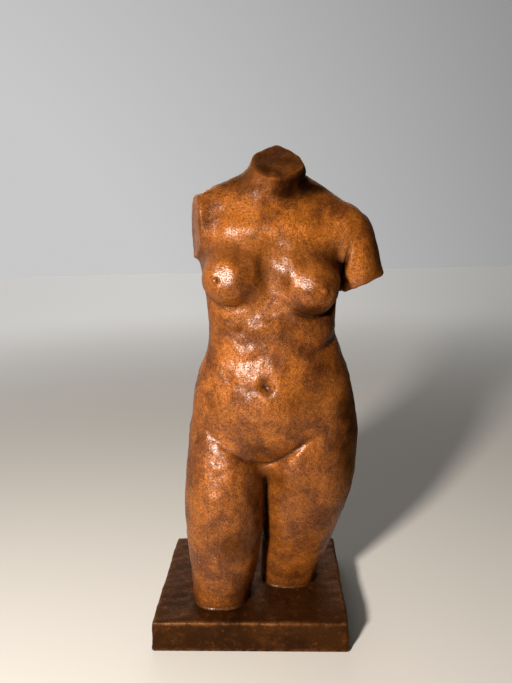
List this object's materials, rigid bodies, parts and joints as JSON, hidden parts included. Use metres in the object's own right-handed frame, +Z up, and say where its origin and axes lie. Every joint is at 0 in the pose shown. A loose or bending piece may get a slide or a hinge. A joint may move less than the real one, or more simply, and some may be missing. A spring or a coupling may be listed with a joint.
{
  "type": "torso sculpture",
  "caption": "Cast bronze female torso, broken off at the neck and arms and standing on cut thighs, on a low rectangular plinth.",
  "frame": {"origin": "middle of the plinth's underside", "axes": "+X to the viewer's right, +Y from the front to the back, +Z up"},
  "size_m": [0.2994, 0.2, 0.6194],
  "materials": {
    "torso": "warm brown patina, waxed satin, finely mottled",
    "plinth": "dark brown patina, worn to copper along the edges"
  },
  "bodies": {
    "root": {"torso": "torso", "plinth": "plinth"}
  },
  "joints": []
}
